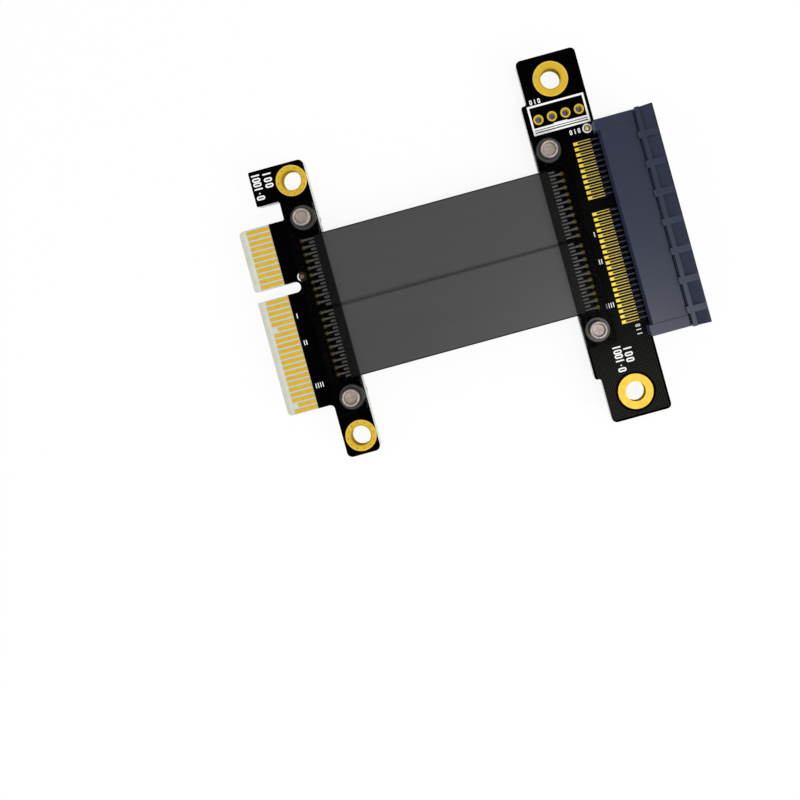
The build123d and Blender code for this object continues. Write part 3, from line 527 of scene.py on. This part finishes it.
def rivet_material():
    """Plated rivet, warm and softly dull: a painted yellow reflection on the wall of its dish, painted shade
    on the dish's floor, and a faint cross on that floor.
    """
    material, tree, shader = new_material("rivet")
    place, x, y, z = object_place(tree)
    tone = noise(tree, place, 0.5 * MM, 4)
    head = ramp(tree, tone, (0.3, (0.267, 0.22, 0.198)), (0.7, (0.43, 0.37, 0.345)))
    # Painted reflection: a yellower wall; painted shade: a darker floor in the dish
    wall_reflection = ramp(tree, tone, (0.3, (0.258, 0.215, 0.13)), (0.7, (0.36, 0.31, 0.19)))
    floor = ramp(tree, tone, (0.3, (0.25, 0.206, 0.185)), (0.7, (0.353, 0.30, 0.273)))
    height = distance(tree, z, middle_z)
    at_floor = within(tree, height, -MM, 3.75 * MM)
    at_wall = within(tree, height, 3.76 * MM, 4.22 * MM, 0.02 * MM)
    colour = mix_colour(tree, at_floor, head, floor)
    colour = mix_colour(tree, at_wall, colour, wall_reflection)
    across, along = rivet_step(tree, x, y)
    wobble = math_node(tree, "MULTIPLY", math_node(tree, "SUBTRACT", tone, 0.5), 0.2 * MM)
    arms = math_node(tree, "MAXIMUM", *(
        within(tree, math_node(tree, "ADD", part, wobble), -0.09 * MM, 0.09 * MM) for part in (across, along)
    ))
    farther = math_node(tree, "MAXIMUM", *(math_node(tree, "ABSOLUTE", part) for part in (across, along)))
    cross = product(tree, arms, within(tree, farther, -MM, 0.62 * MM), at_floor)
    colour = mix_colour(tree, math_node(tree, "MULTIPLY", cross, 0.6), colour, (0.25, 0.20, 0.14))
    tree.links.new(colour, shader.inputs["Base Color"])
    relief = math_node(tree, "SUBTRACT", math_node(tree, "MULTIPLY", tone, 0.5), cross)
    add_bump(tree, shader, relief, 0.05 * MM, 0.5)
    set_values(shader, Metallic=0.4, Roughness=0.42)
    return material


def housing_material():
    """Moulded thermoplastic, dark blue grey: a fine matt grain, painted shade along the outer edges, painted
    light on the inland wall and in the groove, and a painted highlight on the crest towards -Y.
    """
    material, tree, shader = new_material("housing")
    place, x, y, z = object_place(tree)
    upward = face_up(tree)
    upright = opposite(tree, upward)
    tone = noise(tree, place, 3 * MM, 3)
    colour = ramp(tree, tone, (0.3, (0.0130, 0.0173, 0.0410)), (0.7, (0.0153, 0.0198, 0.0445)))
    # Painted shade along the outer edges of the upper faces
    frame_y = within(tree, y, housing_low.y + 0.13 * MM, housing_high.y - 0.13 * MM, 0.03 * MM)
    frame_x = within(tree, x, housing_low.x - MM, housing_high.x - 0.28 * MM, 0.03 * MM)
    housing_edge_shade = opposite(tree, product(tree, frame_y, frame_x))
    colour = mix_colour(tree, product(tree, housing_edge_shade, upward), colour, (0.002, 0.003, 0.012))
    # Painted light on the inland upright wall
    lit_inland_wall = product(tree, upright, within(tree, x, housing_low.x - 0.1 * MM, housing_low.x + MM))
    colour = mix_colour(tree, lit_inland_wall, colour, (0.060, 0.072, 0.142))
    # Painted highlight on the crest, brightest towards -Y
    high_up = grade(tree, z, middle_z + 4.2 * MM, middle_z + 4.3 * MM)
    crest_highlight = product(tree, high_up, grade(tree, y, -20 * MM, 5 * MM, 1.0, 0.0))
    colour = mix_colour(tree, crest_highlight, colour, (0.0190, 0.0240, 0.0510))
    # Painted light in the groove, most in its lower part, where shade falls
    lit_groove = product(tree, within(tree, x, groove_x - 0.02 * MM, groove_x + 0.38 * MM, 0.02 * MM), upright)
    outer_wall = grade(tree, x, groove_x + 0.1 * MM, groove_x + 0.15 * MM)
    groove_light = mix_colour(tree, outer_wall, (0.14, 0.15, 0.22), (0.050, 0.058, 0.100))
    lower_part = grade(tree, z, middle_z + 3.5 * MM, middle_z + 3.7 * MM, 1.0, 0.0)
    groove_light = mix_colour(tree, lower_part, groove_light, (0.15, 0.165, 0.30))
    colour = mix_colour(tree, lit_groove, colour, groove_light)
    tree.links.new(colour, shader.inputs["Base Color"])
    grain = noise(tree, place, 0.09 * MM, 3, 0.6)
    add_bump(tree, shader, grain, 0.004 * MM, 0.4)
    tree.links.new(grade(tree, grain, 0.3, 0.7, 0.30, 0.34), shader.inputs["Roughness"])
    set_values(shader, Specular_IOR_Level=0.25)
    return material


def hole_shade_material():
    """A dark film that stands in for the shade inside a drilled hole."""
    material, tree, shader = new_material("hole_shade")
    place = object_place(tree)[0]
    # Painted shade: a navy tone for the inside of the hole
    colour = ramp(tree, noise(tree, place, 0.3 * MM, 3), (0.3, (0.12, 0.15, 0.38)), (0.7, (0.16, 0.19, 0.48)))
    tree.links.new(colour, shader.inputs["Base Color"])
    set_values(shader, Roughness=0.5, Specular_IOR_Level=0.2)
    return material


materials = {
    "laminate": laminate_material(),
    "solder_mask": mask_material(),
    "gold": gold_material(),
    "silkscreen": silkscreen_material(),
    "solder": tin_material("solder", (0.515, 0.505, 0.48), (0.705, 0.695, 0.68), 0.36),
    "ribbon_jacket": jacket_material(),
    "tinned_wire": tin_material("tinned_wire", (0.58, 0.57, 0.60), (0.73, 0.72, 0.75), 0.34),
    "smoked_cover": cover_material(),
    "washer": washer_material(),
    "rivet": rivet_material(),
    "housing": housing_material(),
    "spring_contact": contact_material(),
}
for part in frame["record"]["subparts"]:
    for material_slot in frame["nodes"][part["node"]].material_slots:
        material_slot.material = materials[part["material_slot"]]


# Pieces


def add_piece(name, vertices, polygons, material, replaces=()):
    """A new mesh piece that rides on the root."""
    mesh = bpy.data.meshes.new(name)
    mesh.from_pydata(vertices, [], polygons)
    mesh.materials.append(material)
    mesh.shade_smooth()
    mesh.set_sharp_from_angle(angle=math.radians(50))
    piece = bpy.data.objects.new(name, mesh)
    bpy.context.scene.collection.objects.link(piece)
    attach(piece, "root")
    if replaces:
        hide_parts(*replaces)


def build_cover(node_name):
    """A clamp cover with softly rounded edges, made from the modelled one's own corners."""
    node = frame["nodes"][node_name]
    side = 1 if node_name.endswith("top") else -1
    low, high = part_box(node_name)
    foot_z = low.z if side == 1 else high.z
    shape = bmesh.new()
    shape.from_mesh(node.data)
    shape.transform(node.matrix_world)
    bmesh.ops.remove_doubles(shape, verts=shape.verts, dist=TOUCHING)
    bmesh.ops.dissolve_limit(shape, angle_limit=math.radians(1), verts=shape.verts, edges=shape.edges)
    for vertex in shape.verts:
        if abs(vertex.co.z - foot_z) < TOUCHING:
            vertex.co.z += side * COVER_LIFT
    corner_angle = math.radians(60)
    sharp = [
        edge for edge in shape.edges if len(edge.link_faces) == 2 and edge.calc_face_angle() > corner_angle
    ]
    bmesh.ops.bevel(
        shape, geom=sharp, offset=COVER_BEVEL, offset_type="OFFSET", segments=3, profile=0.5,
        affect="EDGES", clamp_overlap=True,
    )
    mesh = bpy.data.meshes.new(node_name + "_rounded")
    shape.to_mesh(mesh)
    shape.free()
    mesh.materials.append(materials["smoked_cover"])
    mesh.shade_smooth()
    mesh.set_sharp_from_angle(angle=math.radians(40))
    piece = bpy.data.objects.new(node_name + "_rounded", mesh)
    bpy.context.scene.collection.objects.link(piece)
    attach(piece, "root")
    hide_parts(node_name)


def mound(vertices, polygons, centre_x, centre_y, base_z, side, half_length, half_width, height):
    """Add one soft solder mound with a squarish oval foot."""
    around, levels = 14, 4
    start = len(vertices)
    for level in range(levels):
        rise = math.sin(level / levels * math.pi / 2)
        shrink = math.cos(level / levels * math.pi / 2) ** 0.6
        for n in range(around):
            turn = 2 * math.pi * n / around
            cos_turn, sin_turn = math.cos(turn), math.sin(turn)
            reach = (abs(cos_turn) ** 3 + abs(sin_turn) ** 3) ** (-1 / 3)
            vertices.append((
                centre_x + cos_turn * reach * half_length * (0.35 + 0.65 * shrink),
                centre_y + sin_turn * reach * half_width * shrink,
                base_z + side * rise * height,
            ))
    top = len(vertices)
    vertices.append((centre_x, centre_y, base_z + side * height))
    for level in range(levels - 1):
        for n in range(around):
            a, b = start + level * around + n, start + level * around + (n + 1) % around
            polygon = (a, b, b + around, a + around)
            polygons.append(polygon if side == 1 else polygon[::-1])
    last = start + (levels - 1) * around
    for n in range(around):
        polygon = (last + n, last + (n + 1) % around, top)
        polygons.append(polygon if side == 1 else polygon[::-1])


def build_solder(end, face):
    """All solder mounds of one face of one board: longer ones and shorter ones in turn."""
    node_name = f"{end}_solder_{face}"
    side = 1 if face == "top" else -1
    base_z = middle_z + side * (HALF_BOARD + PAD_THICKNESS)
    pads_low, pads_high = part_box(f"{end}_wire_pads_{face}")
    at_plug = end == "plug"
    inland = -1 if at_plug else 1
    start_x = pads_high.x if at_plug else pads_low.x
    short_half = SHORT_MOUND_LENGTHS[end] / 2
    vertices, polygons = [], []

    def add_mound(along, y, *sizes):
        mound(vertices, polygons, start_x + inland * along, y, base_z, side, *sizes)

    for ribbon_y in (RIBBON_MIDDLE, -RIBBON_MIDDLE):
        for n in range(WIRES_PER_RIBBON):
            y = ribbon_y + ((WIRES_PER_RIBBON - 1) / 2 - n) * WIRE_PITCH
            if (n % 2 == 0) == at_plug:
                add_mound(NECK_PLACE, y, *NECK_MOUND)
                add_mound(BLOB_PLACES[end], y, *BLOB_MOUND)
            else:
                add_mound(short_half, y, short_half, SHORT_MOUND_HALF_WIDTH, SHORT_MOUND_HEIGHT)
    add_piece(node_name + "_mounds", vertices, polygons, materials["solder"], (node_name,))


def build_hole_shade_films():
    """A thin dark film low in each header hole: painted shade inside the hole."""
    film_z, film_radius = socket_high.z - 1.15 * MM, 0.57 * MM
    turns = 24
    vertices, polygons = [], []
    for n in range(HEADER_HOLES):
        centre_x = header_first.x + n * HEADER_PITCH
        start = len(vertices)
        for turn in range(turns):
            angle = 2 * math.pi * turn / turns
            across, along = film_radius * math.cos(angle), film_radius * math.sin(angle)
            vertices.append((centre_x + across, header_first.y + along, film_z))
        polygons.append(tuple(range(start, start + turns)))
    add_piece("header_hole_shade_films", vertices, polygons, hole_shade_material())


def build_rivets(node_name):
    """Two tubular rivets, each turned from one profile: a dished head with a rolled rim at both ends."""
    low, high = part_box(node_name)
    radius = (high.x - low.x) / 2
    crown = (high.z - low.z) / 2
    profile = [(r * MM, crown + z * MM) for r, z in RIVET_OUTLINE]
    profile += [(r, -z) for r, z in reversed(profile)]
    turns = 48
    vertices, polygons = [], []
    for centre_y in (low.y + radius, high.y - radius):
        first = len(vertices)
        for r, z in profile:
            for n in range(turns):
                angle = 2 * math.pi * n / turns
                vertices.append((
                    low.x + radius + r * math.cos(angle), centre_y + r * math.sin(angle), middle_z + z,
                ))
        for ring in range(len(profile) - 1):
            for n in range(turns):
                a, b = first + ring * turns + n, first + ring * turns + (n + 1) % turns
                polygons.append((a, a + turns, b + turns, b))
    add_piece(node_name + "_turned", vertices, polygons, materials["rivet"], (node_name,))


def build_seam_webs():
    """The thin dark web that joins the two jackets of each face along their seam."""
    for face in ("top", "bottom"):
        low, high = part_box(f"ribbon_jacket_{face}_a")
        seam_z = (low.z + high.z) / 2
        half_y, half_z = 0.16 * MM, 0.06 * MM
        ends = (low.x + 0.02 * MM, high.x - 0.02 * MM)
        corners = ((-half_y, -half_z), (half_y, -half_z), (half_y, half_z), (-half_y, half_z))
        vertices = [(x, y, seam_z + z) for x in ends for y, z in corners]
        polygons = [(0, 3, 2, 1), (4, 5, 6, 7)]
        polygons += [(n, (n + 1) % 4, (n + 1) % 4 + 4, n + 4) for n in range(4)]
        add_piece(f"ribbon_seam_{face}", vertices, polygons, materials["ribbon_jacket"])


def build_test_dots():
    """A bright touch of solder in the middle of each test pad's upper face."""
    vertices, polygons = [], []
    for node_name in ("plug_test_pad", "socket_test_pad"):
        low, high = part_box(node_name)
        centre_x, centre_y = (low.x + high.x) / 2, (low.y + high.y) / 2
        mound(vertices, polygons, centre_x, centre_y, high.z - 0.02 * MM, 1, *DOT_MOUND)
    add_piece("test_pad_dots", vertices, polygons, materials["solder"])


build_rivets("plug_rivets")
build_rivets("socket_rivets")
build_seam_webs()
build_test_dots()
for cover_end in ("plug", "socket"):
    for cover_face in ("top", "bottom"):
        build_cover(f"{cover_end}_cover_{cover_face}")
        build_solder(cover_end, cover_face)
build_hole_shade_films()


# Stage: a white floor, soft light and the camera


def build_floor():
    """A plain white floor that keeps a little of the object's shadow."""
    reach = 3.0
    glow = 0.9  # share of plain white for the rays that see the surround
    mesh = bpy.data.meshes.new("floor")
    corners = [(-reach, -reach, 0), (reach, -reach, 0), (reach, reach, 0), (-reach, reach, 0)]
    mesh.from_pydata(corners, [], [(0, 1, 2, 3)])
    floor = bpy.data.objects.new("floor", mesh)
    bpy.context.scene.collection.objects.link(floor)
    material, tree, shader = new_material("floor")
    set_values(shader, Base_Color=(0.97, 0.97, 0.97, 1), Roughness=0.9, Specular_IOR_Level=0.0)
    white = tree.nodes.new("ShaderNodeEmission")
    white.inputs["Strength"].default_value = 1.0
    blend = tree.nodes.new("ShaderNodeMixShader")
    tree.links.new(math_node(tree, "MULTIPLY", sees_surround(tree), glow), blend.inputs[0])
    tree.links.new(shader.outputs[0], blend.inputs[1])
    tree.links.new(white.outputs[0], blend.inputs[2])
    tree.links.new(blend.outputs[0], tree.nodes["Material Output"].inputs["Surface"])
    mesh.materials.append(material)


def build_world():
    """An even white surround: full white where it is seen or mirrored, dimmer as a light."""
    world = bpy.data.worlds.new("surround")
    bpy.context.scene.world = world
    world.use_nodes = True
    tree = world.node_tree
    background = tree.nodes["Background"]
    background.inputs["Color"].default_value = (1, 1, 1, 1)
    as_light, as_seen = 0.62, 1.0
    strength = grade(tree, sees_surround(tree), 0, 1, as_light, as_seen)
    tree.links.new(strength, background.inputs["Strength"])


def add_softbox(name, towards, distance, side, watts):
    """A square soft lamp above the object, at a distance in a direction and facing its centre."""
    lamp_data = bpy.data.lights.new(name, "AREA")
    lamp_data.shape = "SQUARE"
    lamp_data.size = side
    lamp_data.energy = watts
    direction = Vector(towards).normalized()
    lamp = bpy.data.objects.new(name, lamp_data)
    lamp.location = direction * distance
    lamp.rotation_euler = direction.to_track_quat("Z", "Y").to_euler()
    bpy.context.scene.collection.objects.link(lamp)


def build_camera():
    """Straight down from close above the riser's middle. The shift frames it as in the photograph."""
    camera = bpy.data.cameras.new("camera")
    camera.lens = 31.416
    camera.sensor_width = 36
    camera.shift_x = -0.1064
    camera.shift_y = -0.1426
    camera.clip_start = 0.01
    viewer = bpy.data.objects.new("camera", camera)
    viewer.location = mm(1.8575, -3.7, 130.2)
    viewer.rotation_euler = (0, 0, math.radians(-15.3))
    bpy.context.scene.collection.objects.link(viewer)
    bpy.context.scene.camera = viewer


build_floor()
build_world()
add_softbox("key", towards=(0.19, -0.25, 1.0), distance=0.9, side=0.12, watts=1.9)
add_softbox("fill", towards=(0.9, -0.9, 1.0), distance=1.2, side=0.5, watts=5.0)
build_camera()
bpy.context.scene.view_settings.view_transform = "Standard"
